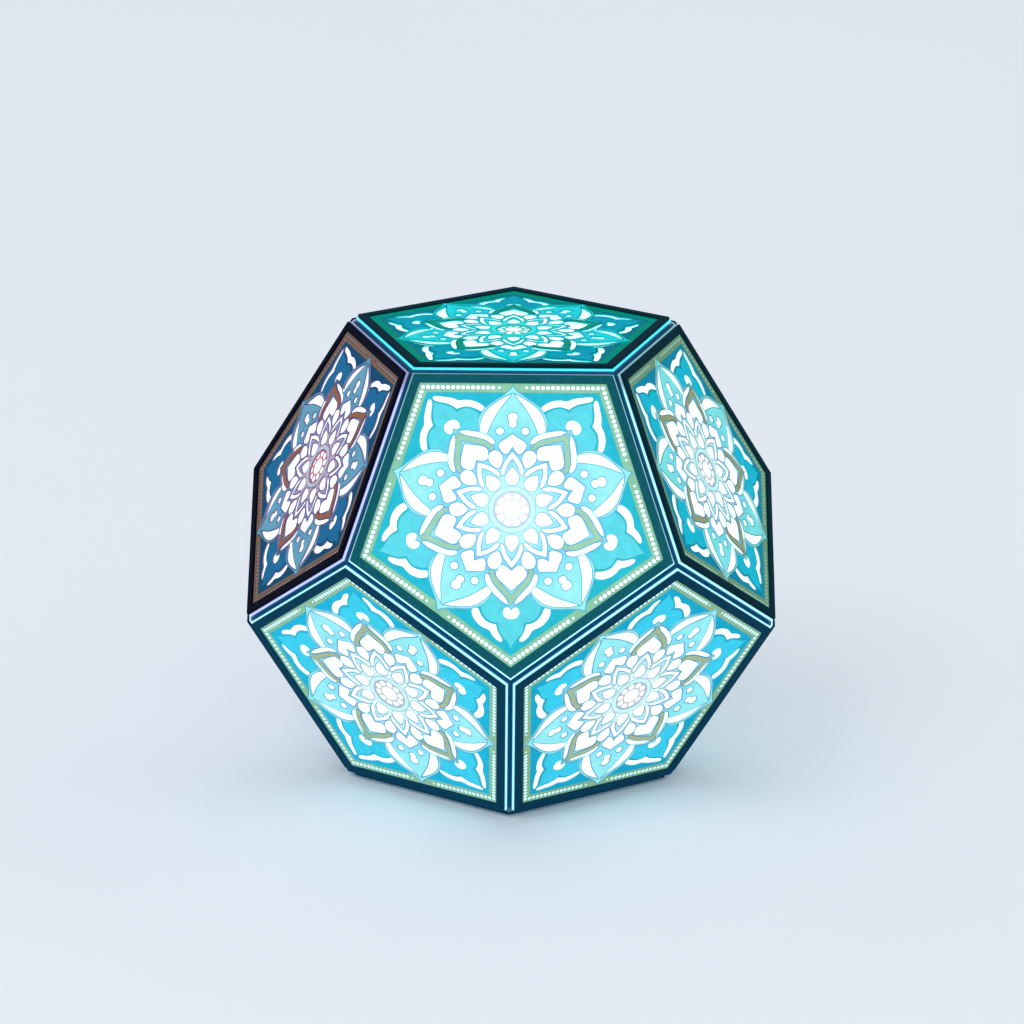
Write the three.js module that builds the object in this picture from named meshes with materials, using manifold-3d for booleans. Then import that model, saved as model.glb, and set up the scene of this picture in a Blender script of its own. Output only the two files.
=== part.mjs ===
// A dodecahedron table lantern: eleven pierced panels on a bar frame make a shell that lifts off
// a base with a battery lamp. Millimetres, +Z up, origin on the table under the centre,
// front towards -Y.
import * as THREE from "three";
import { ConvexGeometry } from "three/addons/geometries/ConvexGeometry.js";
import { mergeVertices } from "three/addons/utils/BufferGeometryUtils.js";
import Module from "manifold-3d";

const wasm = await Module();
wasm.setup();

// Driving sizes of the shell
const acrossFaces = 128;
const rimThickness = 0.9;
const rimBand = 2.3;
const fretThickness = 0.5;
const diffuserThickness = 1.2;
const glueLine = 0.15;
const plateSetback = 0.35;
const rimSetback = 0.35;
const barDepth = 2;
const barWidth = 3.3;
const fretClearance = 0.15;
const cutOverrun = 1;

// The base under the shell
const boardThickness = 3;
const boardClearance = 0.4;
const portWeb = 0.5;
const magnetRadius = 2.5;
const magnetHeight = 1.6;
const magnetClearance = 0.15;
const magnetGap = 0.3;
const magnetWall = 1.5;
const gussetThickness = 2.4;

// The lamp housing and what it holds
const housingRadius = 26;
const housingHeight = 14.5;
const housingWall = 1.6;
const housingFillet = 2;
const floorThickness = 1.5;
const floorClearance = 0.3;
const wireHoleRadius = 3.5;
const screwRadius = 1.3;
const screwLength = 12;
const screwHeadRadius = 2.7;
const screwHeadHeight = 1.3;
const screwClearance = 0.3;
const pilotClearance = 0.15;
const headClearance = 0.3;
const driveWidth = 1.5;
const driveDepth = 0.8;
const bossRadius = 3;
const bossInset = 0.9;
const pilotExtra = 1;
const standoffRadius = 2;
const standoffInset = 0.5;
const circuitClearance = 1;
const circuitThickness = 1.2;
const chipSize = 5;
const chipHeight = 1;
const chipOffset = 9;
const batteryClearance = 1.7;
const batteryWidth = 18;
const batteryHeight = 3;
const batteryFillet = 1.4;

// The charging socket and the push button
const fittingOffset = 8.5;
const socketLength = 9;
const socketWidth = 3.3;
const socketHeight = 6.6;
const socketWall = 0.3;
const tongueLength = 6.6;
const tongueWidth = 0.7;
const tongueSetback = 1.2;
const socketFloor = 1.2;
const fittingClearance = 0.3;
const buttonRadius = 4.5;
const buttonProud = 1.35;
const buttonFlange = 1;
const buttonFlangeHeight = 0.8;
const buttonEdge = 0.4;
const buttonTravel = 0.6;
const stopGap = 0.25;
const plungerRadius = 1.5;
const plungerClearance = 0.2;
const switchWidth = 6;
const switchRoof = 0.6;

// The stem, the light head and the globe
const stemRadius = 5;
const stemFootRadius = 9;
const stemFootHeight = 2;
const collarRadius = 11.5;
const collarHeight = 2.5;
const neckRadius = 10;
const neckClearance = 0.4;
const neckSpigot = 2.5;
const globeRadius = 22;
const globeWall = 1.5;
const globeRise = 1;
const headApothem = 6.5;
const headHeight = 22;
const spigotLength = 6;
const spigotClearance = 0.2;
const ledSize = 5;
const ledHeight = 1;
const ledRow = 6;

// Numbers of faces on round shapes
const roundSteps = 24;
const lampSteps = 16;
const smallSteps = 8;
const arcSteps = 2;
const globeSteps = 6;
const filletSteps = 2;

// The regular dodecahedron
const sides = 5;
const halfSide = Math.PI / sides;
const turn = 2 * halfSide;
const golden = (1 + Math.sqrt(5)) / 2;
const ringTilt = Math.atan(1 / 2);
const beltShare = Math.sqrt(5) - 2;

// Planes of the stack, as distances from the centre
const outerPlane = acrossFaces / 2;
const diffuserOuter = outerPlane - rimThickness - glueLine;
const diffuserInner = diffuserOuter - diffuserThickness;
const barOuter = diffuserInner - glueLine;
const barInner = barOuter - barDepth;
const plateApothem = diffuserInner / golden - plateSetback;
const rimApothem = plateApothem - rimSetback;
const rimWindow = rimApothem - rimBand;
const fretApothem = rimWindow - fretClearance;
const barWindow = barOuter / golden - barWidth;

// Heights of the base and the lamp above the table
const diffuserTop = outerPlane - diffuserInner;
const boardBottom = outerPlane - barOuter;
const boardTop = boardBottom + boardThickness;
const boardApothem = barWindow - boardClearance;
const housingBottom = boardTop + glueLine;
const housingTop = housingBottom + housingHeight;
const housingInner = housingRadius - housingWall;
const screwCircle = housingInner - bossInset - bossRadius;
const portRadius = screwCircle - screwHeadRadius - headClearance - portWeb;
const freeRadius = screwCircle - bossRadius;
const circuitRadius = freeRadius - circuitClearance;
const standoffCircle = circuitRadius - standoffInset - standoffRadius;
const batteryReach = freeRadius - batteryClearance;
const batteryLength = 2 * Math.sqrt(batteryReach ** 2 - (batteryWidth / 2) ** 2);
const floorTop = housingBottom + floorThickness;
const socketBottom = housingBottom + glueLine;
const circuitBottom = socketBottom + socketHeight + glueLine;
const circuitTop = circuitBottom + circuitThickness;
const magnetCircle = boardApothem / Math.cos(halfSide) -
  (magnetRadius + magnetWall) / Math.cos(halfSide);

const finish = {
  rim: { color: 0x12262a, roughness: 0.55, metalness: 0 },
  fret: { color: 0x2fa9b8, roughness: 0.7, metalness: 0 },
  diffuser: { color: 0xe9fbff, roughness: 0.25, metalness: 0 },
  bars: { color: 0x15191c, roughness: 0.6, metalness: 0 },
  board: { color: 0x5a4632, roughness: 0.75, metalness: 0 },
  magnet: { color: 0xb9bcc0, roughness: 0.3, metalness: 1 },
  housing: { color: 0x1c1f22, roughness: 0.5, metalness: 0 },
  button: { color: 0xd8dde0, roughness: 0.45, metalness: 0 },
  circuit: { color: 0x1d5a37, roughness: 0.5, metalness: 0 },
  metal: { color: 0xc3c6ca, roughness: 0.3, metalness: 1 },
  battery: { color: 0x9aa4ad, roughness: 0.4, metalness: 0 },
  head: { color: 0xe8e8e4, roughness: 0.5, metalness: 0 },
  globe: { color: 0xf6f8f8, roughness: 0.6, metalness: 0 },
};

// A closed geometry as a solid that can be joined and cut
function solidOf(geometry) {
  const bare = geometry.clone();
  bare.deleteAttribute("normal");
  bare.deleteAttribute("uv");
  const merged = mergeVertices(bare);
  return new wasm.Manifold(
    new wasm.Mesh({
      numProp: 3,
      vertProperties: merged.attributes.position.array,
      triVerts: new Uint32Array(merged.index.array),
    }),
  );
}

function geometryOf(solid) {
  const mesh = solid.getMesh();
  const geometry = new THREE.BufferGeometry();
  geometry.setAttribute("position", new THREE.BufferAttribute(mesh.vertProperties, 3));
  geometry.setIndex(new THREE.BufferAttribute(mesh.triVerts, 1));
  geometry.computeVertexNormals();
  return geometry;
}

function named(name, geometry, look) {
  const mesh = new THREE.Mesh(geometry, new THREE.MeshStandardMaterial(look));
  mesh.name = name;
  return mesh;
}

// A flat shape pushed up from one height to another
function slab(shape, bottom, top) {
  const settings = { depth: top - bottom, bevelEnabled: false, curveSegments: arcSteps };
  return new THREE.ExtrudeGeometry(shape, settings).translate(0, 0, bottom);
}

// A regular pentagon with the middle of one side towards +Y
function pentagon(apothem, Kind = THREE.Shape) {
  const corner = apothem / Math.cos(halfSide);
  const points = [...Array(sides).keys()].map((k) => {
    const angle = Math.PI / 2 + halfSide + turn * k;
    return new THREE.Vector2(corner * Math.cos(angle), corner * Math.sin(angle));
  });
  return new Kind(points);
}

function circle(x, y, radius, Kind = THREE.Shape, steps = smallSteps) {
  const points = [...Array(steps).keys()].map((k) => {
    const angle = (2 * Math.PI * k) / steps;
    return new THREE.Vector2(x + radius * Math.cos(angle), y + radius * Math.sin(angle));
  });
  return new Kind(points);
}

function rectangle(x, y, width, height, Kind = THREE.Shape) {
  return new Kind([
    new THREE.Vector2(x - width / 2, y - height / 2),
    new THREE.Vector2(x + width / 2, y - height / 2),
    new THREE.Vector2(x + width / 2, y + height / 2),
    new THREE.Vector2(x - width / 2, y + height / 2),
  ]);
}

// A round cut whose flats, not its corners, lie at the radius
function hole(x, y, radius) {
  return circle(x, y, radius / Math.cos(Math.PI / lampSteps), THREE.Shape, lampSteps);
}

function roundSlab(x, y, radius, bottom, top, steps = smallSteps) {
  return slab(circle(x, y, radius, THREE.Shape, steps), bottom, top);
}

// A solid turned about the Z axis; the profile is pairs of radius and height
function turned(profile, steps = roundSteps) {
  const points = profile.map(([radius, height]) => new THREE.Vector2(radius, height));
  return new THREE.LatheGeometry(points, steps).rotateX(Math.PI / 2);
}

// Corners of a face-down dodecahedron about its centre; every corner has an opposite one
function dodecahedron(inradius) {
  const faceCorner = inradius / golden / Math.cos(halfSide);
  const corners = [];
  for (let k = 0; k < sides; k++) {
    const angle = Math.PI / 2 + turn * k;
    const across = new THREE.Vector3(Math.cos(angle), Math.sin(angle), 0);
    const top = across.clone().multiplyScalar(faceCorner).setZ(inradius);
    const belt = across.clone().multiplyScalar(faceCorner * golden).setZ(inradius * beltShare);
    corners.push(top, belt, top.clone().negate(), belt.clone().negate());
  }
  return new ConvexGeometry(corners);
}

// Each face has its outward direction and a neighbour that its local +Y leans towards
function ringDirection(k, upper) {
  const azimuth = -Math.PI / 2 + turn * k + (upper ? 0 : halfSide);
  const level = Math.cos(ringTilt);
  return new THREE.Vector3(
    level * Math.cos(azimuth),
    level * Math.sin(azimuth),
    Math.sin(upper ? ringTilt : -ringTilt),
  );
}

const up = new THREE.Vector3(0, 0, 1);
const down = new THREE.Vector3(0, 0, -1);
const shellFaces = [{ name: "top", out: up, towards: ringDirection(0, true) }];
for (let k = 0; k < sides; k++)
  shellFaces.push({ name: `upper_${k + 1}`, out: ringDirection(k, true), towards: up });
for (let k = 0; k < sides; k++)
  shellFaces.push({ name: `lower_${k + 1}`, out: ringDirection(k, false), towards: down });
const bottomFace = { name: "bottom", out: down, towards: ringDirection(2, false) };

// Turns local +Z to the face's outward direction about the lantern's centre
function faceTurn(face) {
  const z = face.out.clone();
  const y = face.towards.clone().addScaledVector(z, -face.towards.dot(z)).normalize();
  const x = new THREE.Vector3().crossVectors(y, z);
  return new THREE.Quaternion().setFromRotationMatrix(new THREE.Matrix4().makeBasis(x, y, z));
}

// The pierced pattern, as shares of the fretwork's apothem. Each outline lies to the right of
// an axis that points along +Y, and is mirrored to the left.
const medallionShare = 0.142;
const teardropShares = [[0, 0.333], [0.048, 0.248], [0, 0.19]];
const crownShares = [[0, 0.585], [0.107, 0.49], [0.055, 0.438]];
const heartShares = [[0, 0.63], [0.113, 0.49], [0.06, 0.432], [0, 0.488]];
const petalCutShares = [[0.02, 0.915], [0.205, 0.76], [0.252, 0.6], [0.182, 0.64]];
const bracketCutShares = [[0.03, 1.06], [0.158, 0.955], [0.275, 0.815], [0.12, 0.9]];

function turnedPath(shares, angle) {
  const points = shares.map(([x, y]) => new THREE.Vector2(x, y).multiplyScalar(fretApothem));
  points.forEach((point) => point.rotateAround(new THREE.Vector2(), -angle));
  return new THREE.Path(points);
}

// An outline across the axis, closed by its mirror image
function symmetric(shares, angle) {
  const inner = shares.filter(([x]) => x > 0);
  const mirrored = inner.map(([x, y]) => [-x, y]).reverse();
  return turnedPath([...shares, ...mirrored], angle);
}

// A pair of outlines, one on each side of the axis
function mirrorPair(shares, angle) {
  const mirrored = shares.map(([x, y]) => [-x, y]).reverse();
  return [turnedPath(shares, angle), turnedPath(mirrored, angle)];
}

function fretworkShape() {
  const shape = pentagon(fretApothem);
  shape.holes.push(circle(0, 0, medallionShare * fretApothem, THREE.Path, 2 * sides));
  for (let k = 0; k < sides; k++) {
    const toSide = turn * k;
    const toCorner = toSide + halfSide;
    shape.holes.push(symmetric(teardropShares, toSide), symmetric(teardropShares, toCorner));
    shape.holes.push(symmetric(crownShares, toSide), symmetric(heartShares, toCorner));
    shape.holes.push(...mirrorPair(petalCutShares, toSide));
    shape.holes.push(...mirrorPair(bracketCutShares, toCorner));
  }
  return shape;
}

function rimShape() {
  const shape = pentagon(rimApothem);
  shape.holes.push(pentagon(rimWindow, THREE.Path));
  return shape;
}

const rimGeometry = slab(rimShape(), outerPlane - rimThickness, outerPlane);
const fretBottom = diffuserOuter + glueLine;
const fretGeometry = slab(fretworkShape(), fretBottom, fretBottom + fretThickness);
const diffuserGeometry = slab(pentagon(plateApothem), diffuserInner, diffuserOuter);

function panel(face) {
  const group = new THREE.Group();
  group.add(named(`rim_${face.name}`, rimGeometry, finish.rim));
  group.add(named(`fretwork_${face.name}`, fretGeometry, finish.fret));
  group.add(named(`diffuser_${face.name}`, diffuserGeometry, finish.diffuser));
  group.quaternion.copy(faceTurn(face));
  group.position.z = outerPlane;
  return group;
}

// Places for the five magnets, under the corners of the bottom face
function magnetPlaces() {
  return [...Array(sides).keys()].map((k) => {
    const angle = -Math.PI / 2 + turn * k;
    return { angle, x: magnetCircle * Math.cos(angle), y: magnetCircle * Math.sin(angle) };
  });
}

const shellMagnetBottom = boardTop + magnetGap;
const gussetTop = shellMagnetBottom + gussetThickness;

// A flat gusset across a corner of the bottom face, which holds a magnet
function gussetSolid(place) {
  const inner = magnetCircle - (magnetRadius + magnetWall);
  const outer = barOuter / golden / Math.cos(halfSide) + cutOverrun;
  const reach = (outer - inner) / Math.tan(halfSide);
  const corners = [[inner, -reach], [outer, -reach], [outer, reach], [inner, reach]];
  const shape = new THREE.Shape(corners.map(([x, y]) => new THREE.Vector2(x, y)));
  return solidOf(slab(shape, shellMagnetBottom, gussetTop).rotateZ(place.angle));
}

// Thirty bars along the edges, cut from a hollow dodecahedron, with five magnet gussets
function barFrameGeometry() {
  const outer = solidOf(dodecahedron(barOuter).translate(0, 0, outerPlane));
  const inner = solidOf(dodecahedron(barInner).translate(0, 0, outerPlane));
  let frame = outer.subtract(inner);
  for (const place of magnetPlaces()) frame = frame.add(gussetSolid(place).intersect(outer));
  const windowCut = slab(pentagon(barWindow), barInner - cutOverrun / 2, barOuter + cutOverrun);
  for (const face of [...shellFaces, bottomFace]) {
    const cut = windowCut.clone().applyQuaternion(faceTurn(face)).translate(0, 0, outerPlane);
    frame = frame.subtract(solidOf(cut));
  }
  const pocketTop = shellMagnetBottom + magnetHeight + magnetClearance;
  const pocketRadius = magnetRadius + magnetClearance;
  for (const { x, y } of magnetPlaces()) {
    const pocket = roundSlab(x, y, pocketRadius, shellMagnetBottom - cutOverrun, pocketTop);
    frame = frame.subtract(solidOf(pocket));
  }
  return geometryOf(frame);
}

function buildShell() {
  const shell = new THREE.Group();
  shell.add(named("edge_frame", barFrameGeometry(), finish.bars));
  for (const face of shellFaces) shell.add(panel(face));
  const magnetTop = shellMagnetBottom + magnetHeight;
  magnetPlaces().forEach(({ x, y }, k) => {
    const magnet = roundSlab(x, y, magnetRadius, shellMagnetBottom, magnetTop);
    shell.add(named(`shell_magnet_${k + 1}`, magnet, finish.magnet));
  });
  return shell;
}

// Screws and bosses stand on one circle, and the standoffs stand between them
const screwPlaces = [0, 1, 2].map((k) => {
  const angle = Math.PI / 2 + (2 * Math.PI * k) / 3;
  return { x: screwCircle * Math.cos(angle), y: screwCircle * Math.sin(angle) };
});
const standoffPlaces = [0, 1, 2].map((k) => {
  const angle = -Math.PI / 2 + (2 * Math.PI * k) / 3;
  return { x: standoffCircle * Math.cos(angle), y: standoffCircle * Math.sin(angle) };
});
const screwHeadBottom = boardBottom + glueLine;
const screwHeadTop = screwHeadBottom + screwHeadHeight;
const screwTip = screwHeadTop + screwLength;

// The bottom pentagon of the stack, its side towards +Y as on the bottom face
function basePlate(apothem, holeRadius) {
  const shape = pentagon(apothem);
  shape.holes.push(circle(0, 0, portRadius, THREE.Path, roundSteps));
  for (const { x, y } of screwPlaces) shape.holes.push(circle(x, y, holeRadius, THREE.Path));
  return shape;
}

function boardGeometry() {
  const shank = screwRadius + screwClearance;
  let board = solidOf(slab(basePlate(boardApothem, shank), boardBottom, boardTop));
  const seatRadius = screwHeadRadius + headClearance;
  for (const { x, y } of screwPlaces) {
    const seatTop = screwHeadTop + glueLine;
    const seat = roundSlab(x, y, seatRadius, boardBottom - cutOverrun, seatTop);
    board = board.subtract(solidOf(seat));
  }
  const pocketBottom = boardTop - magnetHeight - magnetClearance;
  const pocketRadius = magnetRadius + magnetClearance;
  for (const { x, y } of magnetPlaces()) {
    const pocket = roundSlab(x, y, pocketRadius, pocketBottom, boardTop + cutOverrun);
    board = board.subtract(solidOf(pocket));
  }
  return geometryOf(board);
}

function screwGeometry({ x, y }) {
  const head = solidOf(roundSlab(x, y, screwHeadRadius, screwHeadBottom, screwHeadTop));
  const shank = solidOf(roundSlab(x, y, screwRadius, screwHeadBottom, screwTip));
  const slot = rectangle(x, y, 2 * screwHeadRadius + cutOverrun, driveWidth / 2);
  const cut = slab(slot, screwHeadBottom - cutOverrun, screwHeadBottom + driveDepth);
  return geometryOf(head.add(shank).subtract(solidOf(cut)));
}

function buildBase() {
  const base = new THREE.Group();
  const seatRadius = screwHeadRadius + headClearance;
  base.add(named("base_rim", slab(rimShape(), 0, rimThickness), finish.rim));
  const plate = slab(basePlate(plateApothem, seatRadius), rimThickness + glueLine, diffuserTop);
  base.add(named("base_plate", plate, finish.diffuser));
  base.add(named("base_board", boardGeometry(), finish.board));
  magnetPlaces().forEach(({ x, y }, k) => {
    const magnet = roundSlab(x, y, magnetRadius, boardTop - magnetHeight, boardTop);
    base.add(named(`base_magnet_${k + 1}`, magnet, finish.magnet));
  });
  screwPlaces.forEach((place, k) => {
    base.add(named(`housing_screw_${k + 1}`, screwGeometry(place), finish.metal));
  });
  return base;
}

// A cup with a rounded top edge, a wire hole and three screw bosses
function housingGeometry() {
  const profile = [[wireHoleRadius, housingTop - housingWall]];
  profile.push([housingInner, housingTop - housingWall]);
  profile.push([housingInner, housingBottom]);
  profile.push([housingRadius, housingBottom]);
  for (let k = 0; k <= filletSteps; k++) {
    const angle = (Math.PI / 2) * (k / filletSteps);
    const radius = housingRadius - housingFillet * (1 - Math.cos(angle));
    profile.push([radius, housingTop - housingFillet * (1 - Math.sin(angle))]);
  }
  profile.push([wireHoleRadius, housingTop], profile[0]);
  let housing = solidOf(turned(profile));
  for (const { x, y } of screwPlaces) {
    const bossTop = housingTop - housingWall / 2;
    housing = housing.add(solidOf(roundSlab(x, y, bossRadius, floorTop + glueLine, bossTop)));
    const pilot = screwRadius + pilotClearance;
    const pilotCut = roundSlab(x, y, pilot, floorTop - cutOverrun, screwTip + pilotExtra);
    housing = housing.subtract(solidOf(pilotCut));
  }
  return geometryOf(housing);
}

// The housing's floor, with standoffs for the circuit board and holes for what the user reaches
function floorGeometry() {
  const edge = housingInner - floorClearance;
  let floor = solidOf(roundSlab(0, 0, edge, housingBottom, floorTop, roundSteps));
  const slotWidth = socketWidth + 2 * fittingClearance;
  const slotLength = socketLength + 2 * fittingClearance;
  const cuts = [hole(-fittingOffset, 0, buttonRadius + fittingClearance)];
  cuts.push(rectangle(fittingOffset, 0, slotWidth, slotLength));
  for (const { x, y } of screwPlaces) cuts.push(circle(x, y, screwRadius + screwClearance));
  for (const cut of cuts) {
    const hole = slab(cut, housingBottom - cutOverrun, floorTop + cutOverrun);
    floor = floor.subtract(solidOf(hole));
  }
  for (const { x, y } of standoffPlaces) {
    const post = roundSlab(x, y, standoffRadius, floorTop - glueLine, circuitBottom - glueLine);
    floor = floor.add(solidOf(post));
  }
  return geometryOf(floor);
}

const flangeBottom = floorTop + glueLine;
const flangeTop = flangeBottom + buttonFlangeHeight;
const switchBottom = flangeTop + buttonTravel + stopGap;
const plungerTop = switchBottom + buttonTravel + plungerRadius;

function buttonGeometry() {
  const bottom = housingBottom - buttonProud;
  const profile = [[0, bottom], [buttonRadius - buttonEdge, bottom]];
  profile.push([buttonRadius, bottom + buttonEdge], [buttonRadius, flangeBottom]);
  profile.push([buttonRadius + buttonFlange, flangeBottom]);
  profile.push([buttonRadius + buttonFlange, flangeTop], [plungerRadius, flangeTop]);
  profile.push([plungerRadius, plungerTop], [0, plungerTop]);
  return turned(profile, lampSteps).translate(-fittingOffset, 0, 0);
}

function switchGeometry() {
  const top = circuitBottom - glueLine;
  const body = slab(rectangle(-fittingOffset, 0, switchWidth, switchWidth), switchBottom, top);
  const bore = plungerRadius + plungerClearance;
  const cut = roundSlab(-fittingOffset, 0, bore, switchBottom - cutOverrun, top - switchRoof);
  return geometryOf(solidOf(body).subtract(solidOf(cut)));
}

// A stadium outline: the shell of the charging socket
function stadium(x, length, width, Kind = THREE.Shape) {
  const reach = length / 2 - width / 2;
  const path = new Kind();
  path.absarc(x, reach, width / 2, 0, Math.PI, false);
  path.absarc(x, -reach, width / 2, Math.PI, 2 * Math.PI, false);
  return path;
}

function socketGeometry() {
  const top = socketBottom + socketHeight;
  const outer = solidOf(slab(stadium(fittingOffset, socketLength, socketWidth), socketBottom, top));
  const innerLength = socketLength - 2 * socketWall;
  const mouth = stadium(fittingOffset, innerLength, socketWidth - 2 * socketWall);
  const cut = solidOf(slab(mouth, socketBottom - cutOverrun, top - socketFloor));
  const tongue = rectangle(fittingOffset, 0, tongueWidth, tongueLength);
  const blade = solidOf(slab(tongue, socketBottom + tongueSetback, top - socketFloor / 2));
  return geometryOf(outer.subtract(cut).add(blade));
}

// The circuit board with its two chips
function circuitGeometry() {
  let board = solidOf(roundSlab(0, 0, circuitRadius, circuitBottom, circuitTop, roundSteps));
  for (const x of [-chipOffset, chipOffset]) {
    const chip = rectangle(x, 0, chipSize, chipSize);
    board = board.add(solidOf(slab(chip, circuitTop - glueLine, circuitTop + chipHeight)));
  }
  return geometryOf(board);
}

// A pouch cell with rounded long sides
function batteryGeometry() {
  const bottom = circuitTop + chipHeight + glueLine;
  const section = new THREE.Shape();
  const reachX = batteryWidth / 2 - batteryFillet;
  const reachZ = batteryHeight / 2 - batteryFillet;
  section.absarc(reachX, reachZ, batteryFillet, 0, Math.PI / 2, false);
  section.absarc(-reachX, reachZ, batteryFillet, Math.PI / 2, Math.PI, false);
  section.absarc(-reachX, -reachZ, batteryFillet, Math.PI, 1.5 * Math.PI, false);
  section.absarc(reachX, -reachZ, batteryFillet, 1.5 * Math.PI, 2 * Math.PI, false);
  const cell = slab(section, -batteryLength / 2, batteryLength / 2);
  return cell.rotateX(Math.PI / 2).rotateZ(Math.PI / 2).translate(0, 0, bottom + batteryHeight / 2);
}

// The stem stands on the housing, and its collar carries the globe
const globeCentre = outerPlane + globeRise;
const globeRimHeight = globeCentre - Math.sqrt(globeRadius ** 2 - neckRadius ** 2);
const collarTop = globeRimHeight - glueLine;
const stemBottom = housingTop + glueLine;
const headBottom = globeCentre - headHeight / 2;
const stemTop = headBottom - glueLine;

function stemGeometry() {
  const neck = neckRadius - globeWall - neckClearance;
  const profile = [[wireHoleRadius, stemBottom], [stemFootRadius, stemBottom]];
  profile.push([stemFootRadius, stemBottom + stemFootHeight]);
  profile.push([stemRadius, stemBottom + stemFootHeight + stemFootHeight / 2]);
  profile.push([stemRadius, collarTop - 2 * collarHeight]);
  profile.push([collarRadius, collarTop - collarHeight], [collarRadius, collarTop]);
  profile.push([neck, collarTop], [neck, collarTop + neckSpigot]);
  profile.push([stemRadius, collarTop + neckSpigot], [stemRadius, stemTop]);
  profile.push([wireHoleRadius, stemTop], [wireHoleRadius, stemBottom]);
  return turned(profile, lampSteps);
}

// A five-sided head with a row of light chips on each side and one on top
function headGeometry() {
  const spigotRadius = wireHoleRadius - spigotClearance;
  const headTop = headBottom + headHeight;
  let head = solidOf(slab(pentagon(headApothem), headBottom, headTop));
  head = head.add(solidOf(roundSlab(0, 0, spigotRadius, stemTop - spigotLength, headTop)));
  const chip = rectangle(0, 0, ledSize, ledSize);
  const topChip = slab(chip, headTop - ledHeight, headTop + ledHeight);
  head = head.add(solidOf(topChip));
  for (let k = 0; k < sides; k++) {
    for (const rise of [-ledRow, ledRow]) {
      const sideChip = slab(chip, headApothem - ledHeight, headApothem + ledHeight);
      sideChip.rotateX(-Math.PI / 2).translate(0, 0, globeCentre + rise);
      head = head.add(solidOf(sideChip.rotateZ(turn * k)));
    }
  }
  return geometryOf(head);
}

// A frosted ball open at its neck
function globeGeometry() {
  const innerRadius = globeRadius - globeWall;
  const outerStart = Math.asin(neckRadius / globeRadius);
  const innerStart = Math.asin((neckRadius - globeWall) / innerRadius);
  const outerArc = [];
  const innerArc = [];
  for (let k = 0; k <= globeSteps; k++) {
    const share = k / globeSteps;
    const outer = outerStart + (Math.PI - outerStart) * share;
    const inner = innerStart + (Math.PI - innerStart) * share;
    const onAxis = k === globeSteps;
    const outerReach = onAxis ? 0 : globeRadius * Math.sin(outer);
    const innerReach = onAxis ? 0 : innerRadius * Math.sin(inner);
    outerArc.push([outerReach, globeCentre - globeRadius * Math.cos(outer)]);
    innerArc.unshift([innerReach, globeCentre - innerRadius * Math.cos(inner)]);
  }
  return turned([...innerArc, ...outerArc], lampSteps);
}

function buildLamp() {
  const lamp = new THREE.Group();
  lamp.add(named("lamp_housing", housingGeometry(), finish.housing));
  lamp.add(named("housing_floor", floorGeometry(), finish.housing));
  lamp.add(named("power_button", buttonGeometry(), finish.button));
  lamp.add(named("button_switch", switchGeometry(), finish.metal));
  lamp.add(named("charging_socket", socketGeometry(), finish.metal));
  lamp.add(named("circuit_board", circuitGeometry(), finish.circuit));
  lamp.add(named("battery_cell", batteryGeometry(), finish.battery));
  lamp.add(named("lamp_stem", stemGeometry(), finish.housing));
  lamp.add(named("light_head", headGeometry(), finish.head));
  lamp.add(named("lamp_globe", globeGeometry(), finish.globe));
  return lamp;
}

const lantern = new THREE.Group();
lantern.add(buildShell(), buildBase(), buildLamp());
export default lantern;
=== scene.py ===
# The dodecahedron lantern's looks: layered pierced panels, glowing plates, dark rims and the lamp
import math

import bmesh
import bpy
from mathutils import Color, Matrix, Vector


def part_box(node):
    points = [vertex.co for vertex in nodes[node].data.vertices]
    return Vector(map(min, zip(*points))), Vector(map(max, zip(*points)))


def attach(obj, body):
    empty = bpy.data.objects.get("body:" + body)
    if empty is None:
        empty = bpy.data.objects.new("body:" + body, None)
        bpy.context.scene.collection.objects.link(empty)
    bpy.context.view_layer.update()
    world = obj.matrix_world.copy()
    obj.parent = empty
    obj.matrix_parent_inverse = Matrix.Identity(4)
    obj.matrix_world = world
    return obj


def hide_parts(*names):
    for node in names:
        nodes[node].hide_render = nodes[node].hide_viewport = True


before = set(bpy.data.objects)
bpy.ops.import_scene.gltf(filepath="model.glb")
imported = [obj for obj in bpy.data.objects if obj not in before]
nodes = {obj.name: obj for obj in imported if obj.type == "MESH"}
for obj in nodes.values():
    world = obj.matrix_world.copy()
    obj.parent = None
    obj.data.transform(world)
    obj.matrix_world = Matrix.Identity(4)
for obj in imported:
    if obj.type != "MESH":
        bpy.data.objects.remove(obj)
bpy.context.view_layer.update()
mm = 0.001
upward = Vector((0, 0, 1))
middle = Vector((0, 0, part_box("rim_top")[1].z / 2))
print("frame:", len(nodes), "nodes")


def addObject(name, data):
    thing = bpy.data.objects.new(name, data)
    bpy.context.scene.collection.objects.link(thing)
    return thing


# The photograph's view: a long lens, a little above the lantern
camera = {
    "azimuth": 0.01,
    "elevation": 17.51,
    "distance": 1.602,
    "tiltUp": 0.35,
    "roll": -0.5,
    "lens": 198.5,
    "sensor": 36.0,
    "clip": (0.01, 50),
}


def placeCamera(view):
    around, above = math.radians(view["azimuth"]), math.radians(view["elevation"])
    level = math.cos(above)
    back = Vector((math.sin(around) * level, -math.cos(around) * level, math.sin(above)))
    across = (-back).cross(upward).normalized()
    tilt = Matrix.Rotation(math.radians(view["tiltUp"]), 3, across)
    ahead = tilt @ -back
    head = tilt @ across.cross(-back)
    roll = Matrix.Rotation(math.radians(view["roll"]), 3, ahead)
    turn = Matrix((roll @ across, roll @ head, -ahead)).transposed()
    lens = bpy.data.cameras.new("camera")
    lens.lens = view["lens"]
    lens.sensor_width = view["sensor"]
    lens.clip_start, lens.clip_end = view["clip"]
    viewer = addObject("camera", lens)
    viewer.matrix_world = Matrix.Translation(middle + back * view["distance"]) @ turn.to_4x4()
    bpy.context.scene.camera = viewer


placeCamera(camera)
print("camera placed")


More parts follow.
